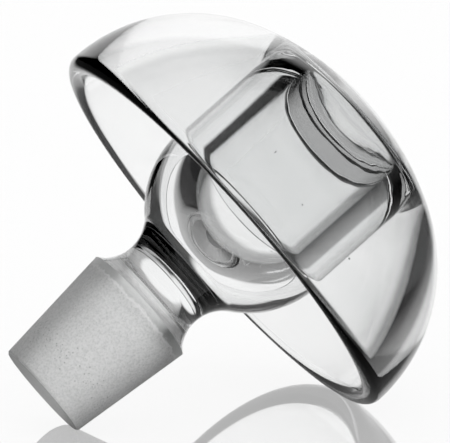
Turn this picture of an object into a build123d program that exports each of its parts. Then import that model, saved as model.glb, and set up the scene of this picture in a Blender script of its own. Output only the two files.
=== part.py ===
"""Glass stopper, one piece: a ground conical plug, a clear waist and a hollow bulb sealed under an umbrella dome.

The stopper lies as it comes to rest, on the edge of its plug's end and on the rim of its dome. +Z is up,
the surface that it lies on is z = 0, its own axis leans in the XZ plane, and the origin is the middle of
the box around its footprint.
"""

import os
from math import asin, atan2, cos, hypot, radians, sin, sqrt

from build123d import *

# Plug: a ground cone with a flat end
plug_end_diameter = 15.1
plug_top_diameter = 18.8
plug_length = 18.6
plug_end_chamfer = 0.25

# Waist: one hollow curve from the plug's shoulder to the bulb
shoulder_rise = 0.7
waist_diameter = 14.2
waist_curve_radius = 6.2
waist_above_plug = 4.7

# Bulb: a round-bottomed wall around a sealed hollow
bulb_diameter = 30.2
bulb_wall = 5.0
bulb_root_fillet = 1.5
hollow_corner_fillet = 0.4

# Dome: a wall of even thickness with a full round rim
dome_diameter = 66.4
dome_wall = 3.5
dome_shoulder_radius = 25.4
dome_shoulder_sweep = 63.5
rim_below_bulb_center = 4.5

# Radii
plug_end_radius = plug_end_diameter / 2
plug_top_radius = plug_top_diameter / 2
waist_radius = waist_diameter / 2
bulb_radius = bulb_diameter / 2
hollow_radius = bulb_radius - bulb_wall
dome_radius = dome_diameter / 2
rim_radius = dome_wall / 2

# Heights along the stopper's axis, from the plug's end
shoulder_height = plug_length + shoulder_rise
waist_height = plug_length + waist_above_plug
waist_curve_offset = waist_radius + waist_curve_radius
bulb_center_height = waist_height + sqrt((bulb_radius + waist_curve_radius) ** 2 - waist_curve_offset**2)
rim_height = bulb_center_height - rim_below_bulb_center

# Points where the waist's curve starts at the shoulder, passes its narrowest place and meets the bulb
shoulder_drop = waist_height - shoulder_height
shoulder_radius = waist_curve_offset - sqrt(waist_curve_radius**2 - shoulder_drop**2)
bulb_meeting_share = bulb_radius / (bulb_radius + waist_curve_radius)
bulb_meeting_radius = bulb_meeting_share * waist_curve_offset
bulb_meeting_height = bulb_center_height - bulb_meeting_share * (bulb_center_height - waist_height)

# The dome's shoulder arc starts upright at the rim, and its crown arc has its center on the axis
dome_shoulder_offset = dome_radius - dome_shoulder_radius
dome_crown_radius = dome_shoulder_radius + dome_shoulder_offset / cos(radians(dome_shoulder_sweep))
dome_crown_center = rim_height - (dome_crown_radius - dome_shoulder_radius) * sin(radians(dome_shoulder_sweep))


def crown_height(radius, inset):
    """Height of the dome's crown at a distance from the axis, on a surface set in from its outside."""
    return dome_crown_center + sqrt((dome_crown_radius - inset) ** 2 - radius**2)


# Lean of the axis at rest, from the line that touches the plug's end edge and the round rim
rim_center_radius = dome_radius - rim_radius
contact_run = rim_height - plug_end_chamfer
contact_rise = rim_center_radius - plug_end_radius
lean = atan2(contact_rise, contact_run) + asin(rim_radius / hypot(contact_run, contact_rise))

# Place of the plug's end, so that the part stands on z = 0 with its box centered over the origin
left_reach = (plug_end_radius - plug_end_chamfer) * sin(lean)
right_reach = rim_height * cos(lean) + dome_shoulder_offset * sin(lean) + dome_shoulder_radius
plug_end_x = (left_reach - right_reach) / 2
plug_end_z = plug_end_radius * cos(lean) - plug_end_chamfer * sin(lean)

# Section plane: its X runs out from the stopper's axis and its Y runs along the axis, towards the dome
section_plane = Plane(origin=(plug_end_x, 0, plug_end_z), x_dir=(-sin(lean), 0, cos(lean)), z_dir=(0, 1, 0))
stopper_axis = Axis(section_plane.origin, section_plane.y_dir)


def dome_arcs(inset):
    """Draw the dome's shoulder and crown arcs on a surface set in from its outside."""
    shoulder = CenterArc(
        (dome_shoulder_offset, rim_height), dome_shoulder_radius - inset, 0, dome_shoulder_sweep
    )
    crown = CenterArc(
        (0, dome_crown_center), dome_crown_radius - inset, dome_shoulder_sweep, 90 - dome_shoulder_sweep
    )
    return shoulder, crown


with BuildPart() as stopper:
    with BuildSketch(section_plane) as body_section:
        # Plug, waist and bulb, with the bulb's wall run up to the middle of the dome's
        with BuildLine():
            foot = Polyline(
                (0, 0),
                (plug_end_radius - plug_end_chamfer, 0),
                (plug_end_radius, plug_end_chamfer),
                (plug_top_radius, plug_length),
                (shoulder_radius, shoulder_height),
            )
            waist = ThreePointArc(
                foot @ 1, (waist_radius, waist_height), (bulb_meeting_radius, bulb_meeting_height)
            )
            bulb = RadiusArc(waist @ 1, (bulb_radius, bulb_center_height), -bulb_radius)
            wall = Line(bulb @ 1, (bulb_radius, crown_height(bulb_radius, rim_radius)))
            top = RadiusArc(wall @ 1, (0, crown_height(0, rim_radius)), -(dome_crown_radius - rim_radius))
            Line(top @ 1, foot @ 0)
        make_face()
        # Dome, a wall between two pairs of arcs that end in the round rim
        with BuildLine():
            outer_shoulder, outer_crown = dome_arcs(0)
            inner_shoulder, inner_crown = dome_arcs(dome_wall)
            Line(outer_crown @ 1, inner_crown @ 1)
            ThreePointArc(
                inner_shoulder @ 0, (rim_center_radius, rim_height - rim_radius), outer_shoulder @ 0
            )
        make_face()
        # Fillet where the bulb's wall runs out into the dome's underside
        root = (bulb_radius, crown_height(bulb_radius, dome_wall))
        fillet(body_section.vertices().sort_by_distance(root)[0], bulb_root_fillet)
    revolve(axis=stopper_axis)

    # Sealed hollow: a round bottom inside the bulb, and a ceiling that follows the dome's underside
    with BuildSketch(section_plane) as hollow_section:
        with BuildLine():
            bottom = RadiusArc(
                (0, bulb_center_height - hollow_radius), (hollow_radius, bulb_center_height), -hollow_radius
            )
            side = Line(bottom @ 1, (hollow_radius, crown_height(hollow_radius, dome_wall)))
            ceiling = RadiusArc(side @ 1, (0, crown_height(0, dome_wall)), -(dome_crown_radius - dome_wall))
            Line(ceiling @ 1, bottom @ 0)
        make_face()
        corner = side @ 1
        fillet(hollow_section.vertices().sort_by_distance(corner)[0], hollow_corner_fillet)
    revolve(axis=stopper_axis, mode=Mode.SUBTRACT)

stopper.part.label = "stopper"

os.makedirs("parts", exist_ok=True)
export_step(stopper.part, "parts/stopper.step")
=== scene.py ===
"""Glass stopper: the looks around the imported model, laid out as an add-on."""

from math import asin, atan2, cos, hypot, pi, radians, sin, sqrt

import bpy
from bpy.props import FloatProperty, IntProperty, PointerProperty, StringProperty
from mathutils import Matrix, Vector


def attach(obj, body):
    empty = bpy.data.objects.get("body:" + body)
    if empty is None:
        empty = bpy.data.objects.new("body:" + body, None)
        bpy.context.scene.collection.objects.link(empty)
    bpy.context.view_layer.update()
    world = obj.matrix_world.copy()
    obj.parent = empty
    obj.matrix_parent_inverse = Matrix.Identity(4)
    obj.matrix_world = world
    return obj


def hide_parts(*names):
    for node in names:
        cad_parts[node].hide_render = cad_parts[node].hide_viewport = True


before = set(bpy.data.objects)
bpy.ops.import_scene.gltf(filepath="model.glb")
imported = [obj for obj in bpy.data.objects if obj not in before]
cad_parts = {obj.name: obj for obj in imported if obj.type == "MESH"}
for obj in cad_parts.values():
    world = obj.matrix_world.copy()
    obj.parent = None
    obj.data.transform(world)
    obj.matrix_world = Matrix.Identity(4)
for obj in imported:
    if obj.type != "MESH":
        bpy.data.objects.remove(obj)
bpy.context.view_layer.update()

bl_info = {
    "name": "Glass stopper",
    "version": (1, 0, 0),
    "blender": (4, 5, 0),
    "location": "View3D > Sidebar > Stopper",
    "description": "Builds a ground-plug glass stopper with a sealed bulb under an umbrella dome",
    "category": "Object",
}

MM = 0.001

# Steps along each run of the section
STEPS = {
    "plug end": 4, "plug": 20, "waist": 36, "bulb": 36, "bulb wall": 12, "root": 14, "underside": 64, "rim": 24,
    "shoulder": 64, "crown": 40, "ceiling": 24, "corner": 16, "hollow wall": 16, "hollow bottom": 56,
}

# Distances in metres under which a point is on the axis, two points are one, and two vertices are merged
ON_AXIS = 1e-9
SAME_POINT = 1e-7
SAME_VERTEX = 1e-6

CRISP_EDGE = radians(24)  # edges that fold by more than this stay sharp
BOUNCES = 24  # enough for light to leave the glass again

# Floor: half its side in metres, the blur of its mirror, and where the light seen through the glass fades in,
# in metres from the stopper along and across the view
FLOOR_REACH = 8.0
MIRROR_BLUR = 0.03
LIT_AHEAD = (-30 * MM, 20 * MM)
LIT_ASIDE = (60 * MM, 20 * MM)
LIT_SPREAD = 0.4  # how much wider the lit strip is on each side, for each metre ahead
LIT_NEAR = (-20 * MM, -140 * MM)

# World: where the windows on the camera's side fade in, as cosines from straight behind the camera
FILL_EDGE = (0.5, 0.9)
NEAR_EDGE = (0.1, 0.35)

# Light Path: limits between whole numbers of bounces
NO_REFLECTION = 0.5
FIRST_BOUNCE = 2.5


def length(label, description, millimetres):
    """A length property, given in millimetres and kept in metres."""
    return FloatProperty(name=label, description=description, default=millimetres * MM, min=0, unit="LENGTH")


def hex_color(code):
    """Linear RGBA of an sRGB hex value."""
    parts = [int(code[i : i + 2], 16) / 255 for i in (0, 2, 4)]
    return (*[c / 12.92 if c <= 0.04045 else ((c + 0.055) / 1.055) ** 2.4 for c in parts], 1.0)


def node(tree, kind, inputs=(), **settings):
    """Add a node, change its settings, then give each named input a value or a link."""
    made = tree.nodes.new(kind)
    for key, value in settings.items():
        setattr(made, key, value)
    for key, value in dict(inputs).items():
        if isinstance(value, bpy.types.NodeSocket):
            tree.links.new(value, made.inputs[key])
        else:
            made.inputs[key].default_value = value
    return made


class StopperSizes(bpy.types.PropertyGroup):
    """Sizes of the stopper's section, with the model's outside"""

    plug_end: length("Plug end", "Diameter of the plug's flat end", 15.1)
    plug_top: length("Plug top", "Diameter of the plug at its shoulder", 18.8)
    plug_length: length("Plug length", "Length of the ground cone", 18.6)
    plug_chamfer: length("Plug chamfer", "Chamfer around the plug's end", 0.25)
    shoulder_rise: length("Shoulder rise", "Height of the slope from the plug's top to the waist", 0.7)
    waist: length("Waist", "Diameter at the narrowest place", 14.2)
    waist_curve: length("Waist curve", "Radius of the waist's hollow curve", 6.2)
    waist_height: length("Waist height", "Height of the narrowest place above the plug", 4.7)
    bulb: length("Bulb", "Outside diameter of the bulb", 30.2)
    bulb_wall: length("Bulb wall", "Thickness of the bulb's wall", 5.2)
    hollow_spring: length("Hollow spring", "Height above the bulb's center where the hollow rounds in", 1.8)
    hollow_depth: length("Hollow depth", "Depth of the hollow's oval bottom", 9.5)
    root_fillet: length("Root fillet", "Fillet between the bulb and the dome's underside", 1.0)
    corner_fillet: length("Corner fillet", "Fillet around the hollow's ceiling", 3.0)
    dome: length("Dome", "Outside diameter of the dome", 66.4)
    dome_shoulder: length("Dome shoulder", "Radius of the dome's shoulder arc", 25.4)
    dome_sweep: FloatProperty(
        name="Dome sweep", description="Angle of the shoulder arc", default=radians(63.5), subtype="ANGLE"
    )
    underside: length("Underside", "Radius of the sphere under the dome", 29.95)
    crown_wall: length("Crown wall", "Thickness of the glass over the hollow", 3.5)
    rim: length("Rim", "Thickness of the dome's round rim", 3.5)
    rim_drop: length("Rim drop", "How far the rim lies below the bulb's center", 4.5)
    segments: IntProperty(name="Segments", description="Faces around the axis", default=224, min=24, max=320)


class StopperFinish(bpy.types.PropertyGroup):
    """Finish of the two glass surfaces"""

    clear_color: StringProperty(name="Clear glass", description="Tint, as sRGB hex", default="ffffff")
    edge_color: StringProperty(name="Clear glass, deeper", description="Tint of denser cords, as sRGB hex",
                               default="f7f8f8")
    speck_color: StringProperty(name="Specks", description="Dust and seeds in the clear glass, as sRGB hex",
                                default="5c605f")
    ground_color: StringProperty(name="Ground glass", description="Tint, as sRGB hex", default="ececec")
    grain_color: StringProperty(name="Grain", description="Tint between the grains, as sRGB hex",
                                default="b9bbba")
    pit_color: StringProperty(name="Pits", description="Tint of the coarser pits, as sRGB hex",
                              default="7c7f7e")
    ior: FloatProperty(name="IOR", description="Refractive index of the glass", default=1.5, min=1, max=2)
    ground_roughness: FloatProperty(name="Ground roughness", default=0.5, min=0, max=1,
                                    description="Roughness of the ground cone")
    band_roughness: FloatProperty(name="Band roughness", default=0.32, min=0, max=1,
                                  description="Roughness of the finer band at the plug's top")


class StopperStage(bpy.types.PropertyGroup):
    """Camera, floor and light"""

    yaw: FloatProperty(name="Yaw", description="Turn of the camera towards the plug", default=radians(23.1),
                       subtype="ANGLE")
    elevation: FloatProperty(name="Elevation", description="Height of the camera above the horizon",
                             default=radians(13.8), subtype="ANGLE")
    distance: length("Distance", "From the camera to the place that it looks at", 435)
    focal: FloatProperty(name="Focal length", description="In millimetres", default=240)
    aim_height: length("Aim height", "Height along the stopper's axis that the camera looks at", 33.35)
    aim_right: length("Aim right", "Shift of that place to the camera's right", 1.508)
    aim_above: length("Aim above", "Shift of that place upwards in the picture", 2.552)
    floor_color: StringProperty(name="Floor", description="Colour of the white floor, as sRGB hex",
                                default="ffffff")
    floor_mirror: FloatProperty(name="Floor mirror", description="Share of the light that the floor mirrors",
                                default=0.5, min=0, max=1)
    floor_glow: FloatProperty(name="Floor glow", description="Share of the rest that glows, free of shadow",
                              default=0.8, min=0, max=1)
    window_height: FloatProperty(name="Window height", description="Height of the white window's middle",
                                 default=radians(19), subtype="ANGLE")
    window_reach: FloatProperty(name="Window reach", description="From the window's middle to its soft edge",
                                default=radians(25), subtype="ANGLE")
    window_edge: FloatProperty(name="Window edge", description="Width of the window's soft edge",
                               default=radians(8), subtype="ANGLE")
    fill: FloatProperty(name="Fill", description="Strength of the dim window behind the camera",
                        default=0.3, min=0)
    side: FloatProperty(name="Side", description="Strength of the dark sides, as seen straight through glass",
                        default=0.05, min=0)


class Section:
    """Points and places of the stopper's section: radius from the axis, height from the plug's end."""

    def __init__(self, sizes):
        self.sizes = sizes
        self.bulb = sizes.bulb / 2
        self.hollow = self.bulb - sizes.bulb_wall
        self.dome = sizes.dome / 2
        self.rim = sizes.rim / 2
        self.shoulder_height = sizes.plug_length + sizes.shoulder_rise
        self.waist_height = sizes.plug_length + sizes.waist_height
        self.waist_offset = sizes.waist / 2 + sizes.waist_curve
        reach = self.bulb + sizes.waist_curve
        self.bulb_height = self.waist_height + sqrt(reach**2 - self.waist_offset**2)
        self.rim_height = self.bulb_height - sizes.rim_drop
        self.shoulder_offset = self.dome - sizes.dome_shoulder
        self.crown = sizes.dome_shoulder + self.shoulder_offset / cos(sizes.dome_sweep)
        self.crown_height = self.rim_height - (self.crown - sizes.dome_shoulder) * sin(sizes.dome_sweep)
        reach = sizes.underside + self.rim
        self.underside_height = self.rim_height - sqrt(reach**2 - (self.dome - self.rim) ** 2)
        # Lean at rest, on the plug's end edge and the round rim, and the place of the plug's end
        run = self.rim_height - sizes.plug_chamfer
        rise = self.dome - self.rim - sizes.plug_end / 2
        self.lean = atan2(rise, run) + asin(self.rim / hypot(run, rise))
        left = (sizes.plug_end / 2 - sizes.plug_chamfer) * sin(self.lean)
        right = (self.rim_height * cos(self.lean) + self.shoulder_offset * sin(self.lean)
                 + sizes.dome_shoulder)
        self.axis = Vector((cos(self.lean), 0, sin(self.lean)))
        self.plug_end = Vector((
            (left - right) / 2, 0, sizes.plug_end / 2 * cos(self.lean) - sizes.plug_chamfer * sin(self.lean)
        ))

    @staticmethod
    def arc(center, radius, start, end, steps):
        """Points on an arc, angles in radians from the radial direction."""
        turns = [start + (end - start) * i / steps for i in range(steps + 1)]
        return [(center[0] + radius * cos(a), center[1] + radius * sin(a)) for a in turns]

    @staticmethod
    def line(start, end, steps):
        """Points on a straight run."""
        return [tuple(a + (b - a) * i / steps for a, b in zip(start, end)) for i in range(steps + 1)]

    def corner(self, wall, level, crown, fillet, steps, outside):
        """A fillet between an upright wall and an arc above it, outside or inside the wall."""
        center_radius = wall + fillet if outside else wall - fillet
        center_height = level + sqrt((crown - fillet) ** 2 - center_radius**2)
        crown_angle = atan2(center_height - level, center_radius)
        wall_angle = pi if outside else 0
        return self.arc((center_radius, center_height), fillet, wall_angle, crown_angle, steps)

    def body(self):
        """The outside: plug, waist, bulb, underside of the dome, rim and dome."""
        s = self.sizes
        plug_end, plug_top = s.plug_end / 2, s.plug_top / 2
        waist_center = (self.waist_offset, self.waist_height)
        waist_start = -pi + asin((self.waist_height - self.shoulder_height) / s.waist_curve)
        waist_end = -pi - atan2(self.bulb_height - self.waist_height, self.waist_offset)
        bulb_start = -atan2(self.bulb_height - self.waist_height, self.waist_offset)
        points = self.line((0, 0), (plug_end - s.plug_chamfer, 0), STEPS["plug end"])
        points += self.line((plug_end, s.plug_chamfer), (plug_top, s.plug_length), STEPS["plug"])
        points += self.arc(waist_center, s.waist_curve, waist_start, waist_end, STEPS["waist"])
        points += self.arc((0, self.bulb_height), self.bulb, bulb_start, 0, STEPS["bulb"])
        root = self.corner(self.bulb, self.underside_height, s.underside, s.root_fillet, STEPS["root"], True)
        points += self.line((self.bulb, self.bulb_height), root[0], STEPS["bulb wall"])[1:-1] + root
        root_angle = atan2(root[-1][1] - self.underside_height, root[-1][0])
        rim_angle = atan2(self.rim_height - self.underside_height, self.dome - self.rim)
        points += self.arc((0, self.underside_height), s.underside, root_angle, rim_angle, STEPS["underside"])
        rim_center = (self.dome - self.rim, self.rim_height)
        points += self.arc(rim_center, self.rim, rim_angle - pi, 0, STEPS["rim"])
        shoulder_center = (self.shoulder_offset, self.rim_height)
        points += self.arc(shoulder_center, s.dome_shoulder, 0, s.dome_sweep, STEPS["shoulder"])
        points += self.arc((0, self.crown_height), self.crown, s.dome_sweep, pi / 2, STEPS["crown"])
        return points

    def cavity(self):
        """The sealed hollow, from its ceiling down to its oval bottom."""
        s = self.sizes
        ceiling = self.crown - s.crown_wall
        corner = self.corner(
            self.hollow, self.crown_height, ceiling, s.corner_fillet, STEPS["corner"], False
        )
        last = atan2(corner[-1][1] - self.crown_height, corner[-1][0])
        points = self.arc((0, self.crown_height), ceiling, pi / 2, last, STEPS["ceiling"])
        points += corner[::-1]
        spring = self.bulb_height + s.hollow_spring
        points += self.line(corner[0], (self.hollow, spring), STEPS["hollow wall"])
        steps = STEPS["hollow bottom"]
        turns = [pi / 2 * i / steps for i in range(steps + 1)]
        points += [(self.hollow * cos(a), spring - s.hollow_depth * sin(a)) for a in turns]
        return points

    def points(self):
        """Both outlines in turn, without doubled points and with every end exactly on the axis."""
        kept = []
        for radius, height in self.body() + self.cavity():
            radius = radius if radius > ON_AXIS else 0.0
            if not kept or hypot(radius - kept[-1][0], height - kept[-1][1]) > SAME_POINT:
                kept.append((radius, height))
        return kept


def revolve_tree():
    """Geometry nodes that turn a section about its own axis and lay the result down on the floor."""
    tree = bpy.data.node_groups.new("Turned glass", "GeometryNodeTree")
    face = tree.interface
    face.new_socket("Section", in_out="INPUT", socket_type="NodeSocketGeometry")
    face.new_socket("Segments", in_out="INPUT", socket_type="NodeSocketInt")
    face.new_socket("Plug end", in_out="INPUT", socket_type="NodeSocketVector")
    face.new_socket("Axis", in_out="INPUT", socket_type="NodeSocketVector")
    face.new_socket("Tilt", in_out="INPUT", socket_type="NodeSocketFloat")
    face.new_socket("Ground length", in_out="INPUT", socket_type="NodeSocketFloat")
    face.new_socket("Clear glass", in_out="INPUT", socket_type="NodeSocketMaterial")
    face.new_socket("Ground glass", in_out="INPUT", socket_type="NodeSocketMaterial")
    face.new_socket("Glass", in_out="OUTPUT", socket_type="NodeSocketGeometry")
    given = node(tree, "NodeGroupInput").outputs
    # One row of the grid for each point of the section, one column for each turn about the axis
    rows = node(tree, "GeometryNodeAttributeDomainSize", {"Geometry": given["Section"]}, component="MESH")
    columns = node(tree, "ShaderNodeMath", {0: given["Segments"], 1: 1.0}, operation="ADD")
    grid = node(tree, "GeometryNodeMeshGrid", {
        "Vertices X": columns.outputs[0], "Vertices Y": rows.outputs["Point Count"]})
    index = node(tree, "GeometryNodeInputIndex").outputs[0]
    row = node(tree, "ShaderNodeMath", {0: index, 1: rows.outputs["Point Count"]}, operation="FLOORED_MODULO")
    step = node(tree, "ShaderNodeMath", {0: index, 1: rows.outputs["Point Count"]}, operation="DIVIDE")
    column = node(tree, "ShaderNodeMath", {0: step.outputs[0]}, operation="FLOOR")
    turn = node(tree, "ShaderNodeMath", {0: column.outputs[0], 1: given["Segments"]}, operation="DIVIDE")
    angle = node(tree, "ShaderNodeMath", {0: turn.outputs[0], 1: 2 * pi}, operation="MULTIPLY")
    place = node(tree, "GeometryNodeInputPosition").outputs[0]
    point = node(tree, "GeometryNodeSampleIndex", {
        "Geometry": given["Section"], "Value": place, "Index": row.outputs[0]},
        data_type="FLOAT_VECTOR", domain="POINT")
    spun = node(tree, "ShaderNodeVectorRotate", {
        "Vector": point.outputs["Value"], "Axis": (0, 0, 1), "Angle": angle.outputs[0]})
    turned = node(tree, "GeometryNodeSetPosition", {
        "Geometry": grid.outputs["Mesh"], "Position": spun.outputs[0]})
    # Faces between the two outlines lie on the axis and have no width
    across = node(tree, "ShaderNodeVectorMath", {0: place, 1: (1, 1, 0)}, operation="MULTIPLY")
    off_axis = node(tree, "ShaderNodeVectorMath", {0: across.outputs[0]}, operation="LENGTH")
    flat = node(tree, "FunctionNodeCompare", {"A": off_axis.outputs["Value"], "B": SAME_POINT},
                data_type="FLOAT", operation="LESS_THAN")
    parted = node(tree, "GeometryNodeDeleteGeometry", {
        "Geometry": turned.outputs[0], "Selection": flat.outputs[0]}, domain="FACE")
    closed = node(tree, "GeometryNodeMergeByDistance", {
        "Geometry": parted.outputs[0], "Distance": SAME_VERTEX})
    tilt = node(tree, "ShaderNodeCombineXYZ", {"Y": given["Tilt"]})
    laid = node(tree, "GeometryNodeTransform", {
        "Geometry": closed.outputs[0], "Translation": given["Plug end"], "Rotation": tilt.outputs[0]})
    # The plug's edges stay crisp, the rest is smooth
    smooth = node(tree, "GeometryNodeSetShadeSmooth", {"Geometry": laid.outputs[0]}, domain="FACE")
    fold = node(tree, "GeometryNodeInputMeshEdgeAngle")
    crisp = node(tree, "FunctionNodeCompare", {"A": fold.outputs["Unsigned Angle"], "B": CRISP_EDGE},
                 data_type="FLOAT", operation="GREATER_THAN")
    shaded = node(tree, "GeometryNodeSetShadeSmooth", {
        "Geometry": smooth.outputs[0], "Selection": crisp.outputs[0], "Shade Smooth": False}, domain="EDGE")
    solid = node(tree, "GeometryNodeRealizeInstances", {"Geometry": shaded.outputs[0]})
    polished = node(tree, "GeometryNodeSetMaterial", {
        "Geometry": solid.outputs[0], "Material": given["Clear glass"]})
    from_end = node(tree, "ShaderNodeVectorMath", {0: place, 1: given["Plug end"]}, operation="SUBTRACT")
    along = node(tree, "ShaderNodeVectorMath", {0: from_end.outputs[0], 1: given["Axis"]},
                 operation="DOT_PRODUCT")
    low = node(tree, "FunctionNodeCompare", {"A": along.outputs["Value"], "B": given["Ground length"]},
               data_type="FLOAT", operation="LESS_THAN")
    ground = node(tree, "GeometryNodeSetMaterial", {
        "Geometry": polished.outputs[0], "Selection": low.outputs[0], "Material": given["Ground glass"]})
    node(tree, "NodeGroupOutput", {"Glass": ground.outputs[0]})
    return tree


def glass_shader(name, finish, section):
    """A new glass: its tree, its shader and places in millimetres, with Z along the stopper's axis."""
    made = bpy.data.materials.new(name)
    made.use_nodes = True
    tree = made.node_tree
    shader = tree.nodes["Principled BSDF"]
    shader.inputs["IOR"].default_value = finish.ior
    shader.inputs["Transmission Weight"].default_value = 1.0
    where = node(tree, "ShaderNodeTexCoord")
    place = node(tree, "ShaderNodeMapping", {
        "Vector": where.outputs["Object"], "Location": section.plug_end,
        "Rotation": (0, pi / 2 - section.lean, 0), "Scale": (MM, MM, MM)}, vector_type="TEXTURE")
    return made, tree, shader, place.outputs[0]


def clear_glass(finish, section):
    """Fire-polished borosilicate: colourless and mirror smooth, with the faint waves of lathe-worked glass,
    fine rings around the neck and a few specks."""
    made, tree, shader, place = glass_shader("Borosilicate glass, fire-polished", finish, section)
    shader.inputs["Roughness"].default_value = 0.0
    # Cords in the glass, 4 mm apart along the axis and drawn out across it
    cord_spacing, cord_stretch = 4.0, 0.24
    drawn = node(tree, "ShaderNodeMapping", {
        "Vector": place,
        "Scale": (cord_stretch / cord_spacing, cord_stretch / cord_spacing, 1 / cord_spacing)})
    cords = node(tree, "ShaderNodeTexNoise", {"Vector": drawn.outputs[0], "Scale": 1.0, "Detail": 2})
    tint = node(tree, "ShaderNodeMix", {
        "Factor": cords.outputs[0], "A": hex_color(finish.clear_color), "B": hex_color(finish.edge_color)},
        data_type="RGBA")
    # Specks 0.3 mm wide, at the points of some of the cells, which are 5 mm wide
    speck_cell, speck_radius, speck_share = 5.0, 0.15, 0.35
    cells = node(tree, "ShaderNodeTexVoronoi", {"Vector": place, "Scale": 1 / speck_cell})
    near = node(tree, "ShaderNodeMath", {0: cells.outputs["Distance"], 1: speck_radius / speck_cell},
                operation="LESS_THAN")
    few = node(tree, "ShaderNodeMath", {0: cells.outputs["Color"], 1: speck_share}, operation="LESS_THAN")
    speck = node(tree, "ShaderNodeMath", {0: near.outputs[0], 1: few.outputs[0]}, operation="MULTIPLY")
    color = node(tree, "ShaderNodeMix", {
        "Factor": speck.outputs[0], "A": tint.outputs["Result"], "B": hex_color(finish.speck_color)},
        data_type="RGBA")
    tree.links.new(color.outputs["Result"], shader.inputs["Base Color"])
    # Rings of the lathe, 0.7 mm apart, fading out from the plug to the bulb
    rings_per_mm, rings_start, rings_end = 1.4, 19, 27
    height = node(tree, "ShaderNodeSeparateXYZ", {"Vector": place})
    rings = node(tree, "ShaderNodeTexNoise", {"W": height.outputs["Z"], "Scale": rings_per_mm, "Detail": 1},
                 noise_dimensions="1D")
    from_plug = node(tree, "ShaderNodeMapRange", {
        "Value": height.outputs["Z"], "From Min": rings_start, "From Max": rings_end, "To Min": 1, "To Max": 0})
    turned = node(tree, "ShaderNodeMath", {0: rings.outputs[0], 1: from_plug.outputs[0]},
                  operation="MULTIPLY")
    waves = node(tree, "ShaderNodeBump", {
        "Height": cords.outputs[0], "Strength": 0.1, "Distance": 0.08 * MM})
    surface = node(tree, "ShaderNodeBump", {
        "Height": turned.outputs[0], "Strength": 0.5, "Distance": 0.05 * MM, "Normal": waves.outputs[0]})
    tree.links.new(surface.outputs[0], shader.inputs["Normal"])
    return made


def ground_glass(finish, section):
    """The same glass ground with loose grit: milky, with a sandy grain, a seam of coarser pits near the plug's
    end and a finer band with a frayed, whitish border at its top."""
    made, tree, shader, place = glass_shader("Borosilicate glass, grit-ground", finish, section)
    height = node(tree, "ShaderNodeSeparateXYZ", {"Vector": place}).outputs["Z"]
    # Grain of the grit, under 0.1 mm and drawn at 0.35 mm so that it shows
    grains_per_mm = 2.9
    grain = node(tree, "ShaderNodeTexNoise", {
        "Vector": place, "Scale": grains_per_mm, "Detail": 3, "Roughness": 0.7})
    cloud = node(tree, "ShaderNodeMapRange", {
        "Value": grain.outputs[0], "From Min": 0.3, "From Max": 0.6})
    sandy = node(tree, "ShaderNodeMix", {
        "Factor": cloud.outputs[0], "A": hex_color(finish.grain_color), "B": hex_color(finish.ground_color)},
        data_type="RGBA")
    # Pits 0.2 mm wide, crowded along the border of a second grinding 5.2 mm above the plug's end
    pits_per_mm, seam_height = 2.2, 5.2
    cells = node(tree, "ShaderNodeTexVoronoi", {"Vector": place, "Scale": pits_per_mm})
    near = node(tree, "ShaderNodeMapRange", {
        "Value": cells.outputs["Distance"], "From Min": 0.12, "From Max": 0.3, "To Min": 1, "To Max": 0})
    seam = node(tree, "ShaderNodeMath", {0: height, 1: seam_height}, operation="SUBTRACT")
    off_seam = node(tree, "ShaderNodeMath", {0: seam.outputs[0]}, operation="ABSOLUTE")
    share = node(tree, "ShaderNodeMapRange", {
        "Value": off_seam.outputs[0], "From Min": 0.2, "From Max": 2.4, "To Min": 0.75, "To Max": 0.07})
    few = node(tree, "ShaderNodeMath", {0: cells.outputs["Color"], 1: share.outputs[0]},
               operation="LESS_THAN")
    pit = node(tree, "ShaderNodeMath", {0: near.outputs[0], 1: few.outputs[0]}, operation="MULTIPLY")
    pitted = node(tree, "ShaderNodeMix", {
        "Factor": pit.outputs[0], "A": sandy.outputs["Result"], "B": hex_color(finish.pit_color)},
        data_type="RGBA")
    # Finer band over the plug's top millimetre, with a border frayed by a noise 1 mm wide and up to 1.5 mm high
    fray_height, chips_level, band_start, band_end = 1.5, 18.0, 18.1, 18.4
    fray = node(tree, "ShaderNodeTexNoise", {"Vector": place, "Scale": 1.0, "Detail": 2})
    frayed = node(tree, "ShaderNodeMath", {0: fray.outputs[0], 1: fray_height, 2: height},
                  operation="MULTIPLY_ADD")
    band = node(tree, "ShaderNodeMapRange", {
        "Value": frayed.outputs[0], "From Min": band_start, "From Max": band_end})
    banded = node(tree, "ShaderNodeMix", {
        "Factor": band.outputs[0], "A": pitted.outputs["Result"], "B": hex_color(finish.grain_color)},
        data_type="RGBA")
    # Whitish chips along that border
    from_border = node(tree, "ShaderNodeMath", {0: frayed.outputs[0], 1: chips_level}, operation="SUBTRACT")
    off_border = node(tree, "ShaderNodeMath", {0: from_border.outputs[0]}, operation="ABSOLUTE")
    chips = node(tree, "ShaderNodeMapRange", {
        "Value": off_border.outputs[0], "From Min": 0.05, "From Max": 0.3, "To Min": 1, "To Max": 0})
    color = node(tree, "ShaderNodeMix", {
        "Factor": chips.outputs[0], "A": banded.outputs["Result"], "B": hex_color(finish.clear_color)},
        data_type="RGBA")
    tree.links.new(color.outputs["Result"], shader.inputs["Base Color"])
    rough = node(tree, "ShaderNodeMapRange", {
        "Value": band.outputs[0], "To Min": finish.ground_roughness, "To Max": finish.band_roughness})
    tree.links.new(rough.outputs[0], shader.inputs["Roughness"])
    surface = node(tree, "ShaderNodeBump", {
        "Height": grain.outputs[0], "Strength": 0.5, "Distance": 0.1 * MM})
    tree.links.new(surface.outputs[0], shader.inputs["Normal"])
    return made


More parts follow.
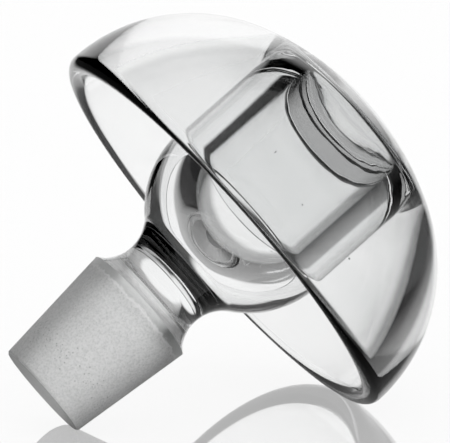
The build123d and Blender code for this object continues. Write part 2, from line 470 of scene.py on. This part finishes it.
class STOPPER_OT_glass(bpy.types.Operator):
    """Turn the stopper's section into one piece of glass"""

    bl_idname = "stopper.glass"
    bl_label = "Glass stopper"

    def execute(self, context):
        settings = context.scene
        section = Section(settings.stopper_sizes)
        outline = bpy.data.meshes.new("stopper_section")
        points = section.points()
        edges = [(i, i + 1) for i in range(len(points) - 1)]
        outline.from_pydata([(r, 0, h) for r, h in points], edges, [])
        maker = bpy.data.objects.new("stopper_maker", outline)
        context.collection.objects.link(maker)
        tree = revolve_tree()
        modifier = maker.modifiers.new("Turned glass", "NODES")
        modifier.node_group = tree
        values = {
            "Segments": settings.stopper_sizes.segments,
            "Plug end": section.plug_end,
            "Axis": section.axis,
            "Tilt": pi / 2 - section.lean,
            "Ground length": settings.stopper_sizes.plug_length,
            "Clear glass": clear_glass(settings.stopper_finish, section),
            "Ground glass": ground_glass(settings.stopper_finish, section),
        }
        for item in tree.interface.items_tree:
            if item.name in values:
                modifier[item.identifier] = values[item.name]
        context.view_layer.update()
        finished = maker.evaluated_get(context.evaluated_depsgraph_get())
        turned = bpy.data.meshes.new_from_object(finished)
        bpy.data.objects.remove(maker)
        turned.name = "stopper_glass"
        piece = bpy.data.objects.new("stopper_glass", turned)
        context.collection.objects.link(piece)
        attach(piece, "root")
        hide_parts("stopper")
        return {"FINISHED"}


class STOPPER_OT_stage(bpy.types.Operator):
    """Set up the white floor, the light and the camera"""

    bl_idname = "stopper.stage"
    bl_label = "Stage"

    def execute(self, context):
        stage = context.scene.stopper_stage
        section = Section(context.scene.stopper_sizes)
        context.scene.view_settings.view_transform = "Standard"
        context.scene.cycles.max_bounces = BOUNCES
        context.scene.cycles.transmission_bounces = BOUNCES
        right = Vector((cos(stage.yaw), -sin(stage.yaw), 0))
        level = Vector((sin(stage.yaw), cos(stage.yaw), 0))
        ahead = level * cos(stage.elevation) - Vector((0, 0, 1)) * sin(stage.elevation)
        above = right.cross(ahead)
        target = section.plug_end + section.axis * stage.aim_height
        target += right * stage.aim_right + above * stage.aim_above
        place = target - ahead * stage.distance
        lens = bpy.data.cameras.new("Camera")
        lens.lens = stage.focal
        camera = bpy.data.objects.new("Camera", lens)
        camera.matrix_world = Matrix((
            (right.x, above.x, -ahead.x, place.x),
            (right.y, above.y, -ahead.y, place.y),
            (right.z, above.z, -ahead.z, place.z),
            (0, 0, 0, 1),
        ))
        context.collection.objects.link(camera)
        context.scene.camera = camera
        self.floor(context, stage, level, right)
        self.world(context, stage, level)
        return {"FINISHED"}

    def floor(self, context, stage, level, right):
        """A polished sheet of white acrylic, with a soft mirror image of what lies on it."""
        corners = [(x * FLOOR_REACH, y * FLOOR_REACH, 0) for x, y in ((-1, -1), (1, -1), (1, 1), (-1, 1))]
        sheet = bpy.data.meshes.new("floor")
        sheet.from_pydata(corners, [], [(0, 1, 2, 3)])
        floor = bpy.data.objects.new("floor", sheet)
        context.collection.objects.link(floor)
        made = bpy.data.materials.new("Acrylic sheet, white")
        made.use_nodes = True
        tree = made.node_tree
        tree.nodes.clear()
        white = hex_color(stage.floor_color)
        # Seen through the glass, the floor is lit ahead of the stopper and dark to the sides
        where = node(tree, "ShaderNodeNewGeometry").outputs["Position"]
        depth = node(tree, "ShaderNodeVectorMath", {0: where, 1: level}, operation="DOT_PRODUCT")
        across = node(tree, "ShaderNodeVectorMath", {0: where, 1: right}, operation="DOT_PRODUCT")
        aside = node(tree, "ShaderNodeMath", {0: across.outputs["Value"]}, operation="ABSOLUTE")
        spread = node(tree, "ShaderNodeMath", {0: depth.outputs["Value"], 1: -LIT_SPREAD, 2: aside.outputs[0]},
                      operation="MULTIPLY_ADD")
        ahead = node(tree, "ShaderNodeMapRange", {
            "Value": depth.outputs["Value"], "From Min": LIT_AHEAD[0], "From Max": LIT_AHEAD[1]})
        middle = node(tree, "ShaderNodeMapRange", {
            "Value": spread.outputs[0], "From Min": LIT_ASIDE[0], "From Max": LIT_ASIDE[1]})
        lit = node(tree, "ShaderNodeMath", {0: ahead.outputs[0], 1: middle.outputs[0]}, operation="MULTIPLY")
        # Light that only passes through the glass finds it lit on the near side too
        light = node(tree, "ShaderNodeLightPath").outputs
        straight = node(tree, "ShaderNodeMath", {0: light["Glossy Depth"], 1: NO_REFLECTION},
                        operation="LESS_THAN")
        near = node(tree, "ShaderNodeMapRange", {
            "Value": depth.outputs["Value"], "From Min": LIT_NEAR[0], "From Max": LIT_NEAR[1],
            "To Min": stage.side})
        seen = node(tree, "ShaderNodeMath", {0: near.outputs[0], 1: straight.outputs[0]}, operation="MULTIPLY")
        ground = node(tree, "ShaderNodeMath", {0: lit.outputs[0], 1: seen.outputs[0]}, operation="MAXIMUM")
        strength = node(tree, "ShaderNodeMath", {0: light["Is Camera Ray"], 1: ground.outputs[0]},
                        operation="MAXIMUM")
        shade = node(tree, "ShaderNodeMix", {"Factor": strength.outputs[0], "A": (0, 0, 0, 1), "B": white},
                     data_type="RGBA")
        matt = node(tree, "ShaderNodeBsdfDiffuse", {"Color": shade.outputs["Result"]})
        glow = node(tree, "ShaderNodeEmission", {"Color": shade.outputs["Result"]})
        gloss = node(tree, "ShaderNodeBsdfGlossy", {"Color": white, "Roughness": MIRROR_BLUR})
        soft = node(tree, "ShaderNodeMixShader", {0: stage.floor_glow, 1: matt.outputs[0], 2: glow.outputs[0]})
        mixed = node(tree, "ShaderNodeMixShader", {
            0: stage.floor_mirror, 1: soft.outputs[0], 2: gloss.outputs[0]})
        node(tree, "ShaderNodeOutputMaterial", {"Surface": mixed.outputs[0]})
        sheet.materials.append(made)

    def world(self, context, stage, level):
        """A round white window ahead, a dim one behind the camera and dark sides, on a white background."""
        world = bpy.data.worlds.new("Studio")
        context.scene.world = world
        world.use_nodes = True
        tree = world.node_tree
        tree.nodes.clear()
        way = node(tree, "ShaderNodeTexCoord").outputs["Generated"]
        middle = level * cos(stage.window_height) + Vector((0, 0, 1)) * sin(stage.window_height)
        facing = node(tree, "ShaderNodeVectorMath", {0: way, 1: middle}, operation="DOT_PRODUCT")
        window = node(tree, "ShaderNodeMapRange", {
            "Value": facing.outputs["Value"],
            "From Min": cos(stage.window_reach + stage.window_edge / 2),
            "From Max": cos(stage.window_reach - stage.window_edge / 2)}, interpolation_type="SMOOTHSTEP")
        behind = node(tree, "ShaderNodeVectorMath", {0: way, 1: -level}, operation="DOT_PRODUCT")
        fill = node(tree, "ShaderNodeMapRange", {
            "Value": behind.outputs["Value"], "From Min": FILL_EDGE[0], "From Max": FILL_EDGE[1],
            "To Max": stage.fill})
        lit = node(tree, "ShaderNodeMath", {0: window.outputs[0], 1: fill.outputs[0]}, operation="MAXIMUM")
        light = node(tree, "ShaderNodeLightPath").outputs
        plain = node(tree, "ShaderNodeMath", {
            0: light["Is Camera Ray"], 1: light["Is Diffuse Ray"]}, operation="MAXIMUM")
        # The floor's soft mirror shows white wherever it doesn't show the glass
        dull = node(tree, "ShaderNodeMath", {0: light["Is Glossy Ray"], 1: light["Is Singular Ray"]},
                    operation="GREATER_THAN")
        first = node(tree, "ShaderNodeMath", {0: light["Ray Depth"], 1: FIRST_BOUNCE}, operation="LESS_THAN")
        mirrored = node(tree, "ShaderNodeMath", {0: dull.outputs[0], 1: first.outputs[0]},
                        operation="MULTIPLY")
        # Light that only passes through the glass finds white on the near side too
        straight = node(tree, "ShaderNodeMath", {0: light["Glossy Depth"], 1: NO_REFLECTION},
                        operation="LESS_THAN")
        through = node(tree, "ShaderNodeMath", {0: straight.outputs[0], 1: dull.outputs[0]},
                       operation="MAXIMUM")
        near = node(tree, "ShaderNodeMapRange", {
            "Value": behind.outputs["Value"], "From Min": NEAR_EDGE[0], "From Max": NEAR_EDGE[1],
            "To Min": stage.side})
        seen = node(tree, "ShaderNodeMath", {0: near.outputs[0], 1: through.outputs[0]}, operation="MULTIPLY")
        strength = lit
        for more in (plain, mirrored, seen):
            strength = node(tree, "ShaderNodeMath", {0: strength.outputs[0], 1: more.outputs[0]},
                            operation="MAXIMUM")
        glow = node(tree, "ShaderNodeBackground", {"Color": (1, 1, 1, 1), "Strength": strength.outputs[0]})
        node(tree, "ShaderNodeOutputWorld", {"Surface": glow.outputs[0]})


class STOPPER_PT_sidebar(bpy.types.Panel):
    """Sizes, finish and stage of the stopper"""

    bl_label = "Glass stopper"
    bl_space_type = "VIEW_3D"
    bl_region_type = "UI"
    bl_category = "Stopper"

    def draw(self, context):
        scene = context.scene
        for group in (scene.stopper_sizes, scene.stopper_finish, scene.stopper_stage):
            box = self.layout.box()
            for key in group.__annotations__:
                box.prop(group, key)
        self.layout.operator(STOPPER_OT_glass.bl_idname)
        self.layout.operator(STOPPER_OT_stage.bl_idname)


CLASSES = (
    StopperSizes, StopperFinish, StopperStage, STOPPER_OT_glass, STOPPER_OT_stage, STOPPER_PT_sidebar,
)


def register():
    for item in CLASSES:
        bpy.utils.register_class(item)
    bpy.types.Scene.stopper_sizes = PointerProperty(type=StopperSizes)
    bpy.types.Scene.stopper_finish = PointerProperty(type=StopperFinish)
    bpy.types.Scene.stopper_stage = PointerProperty(type=StopperStage)


def unregister():
    del bpy.types.Scene.stopper_stage
    del bpy.types.Scene.stopper_finish
    del bpy.types.Scene.stopper_sizes
    for item in reversed(CLASSES):
        bpy.utils.unregister_class(item)


def main():
    register()
    bpy.ops.stopper.glass()
    bpy.ops.stopper.stage()


if __name__ == "__main__":
    main()
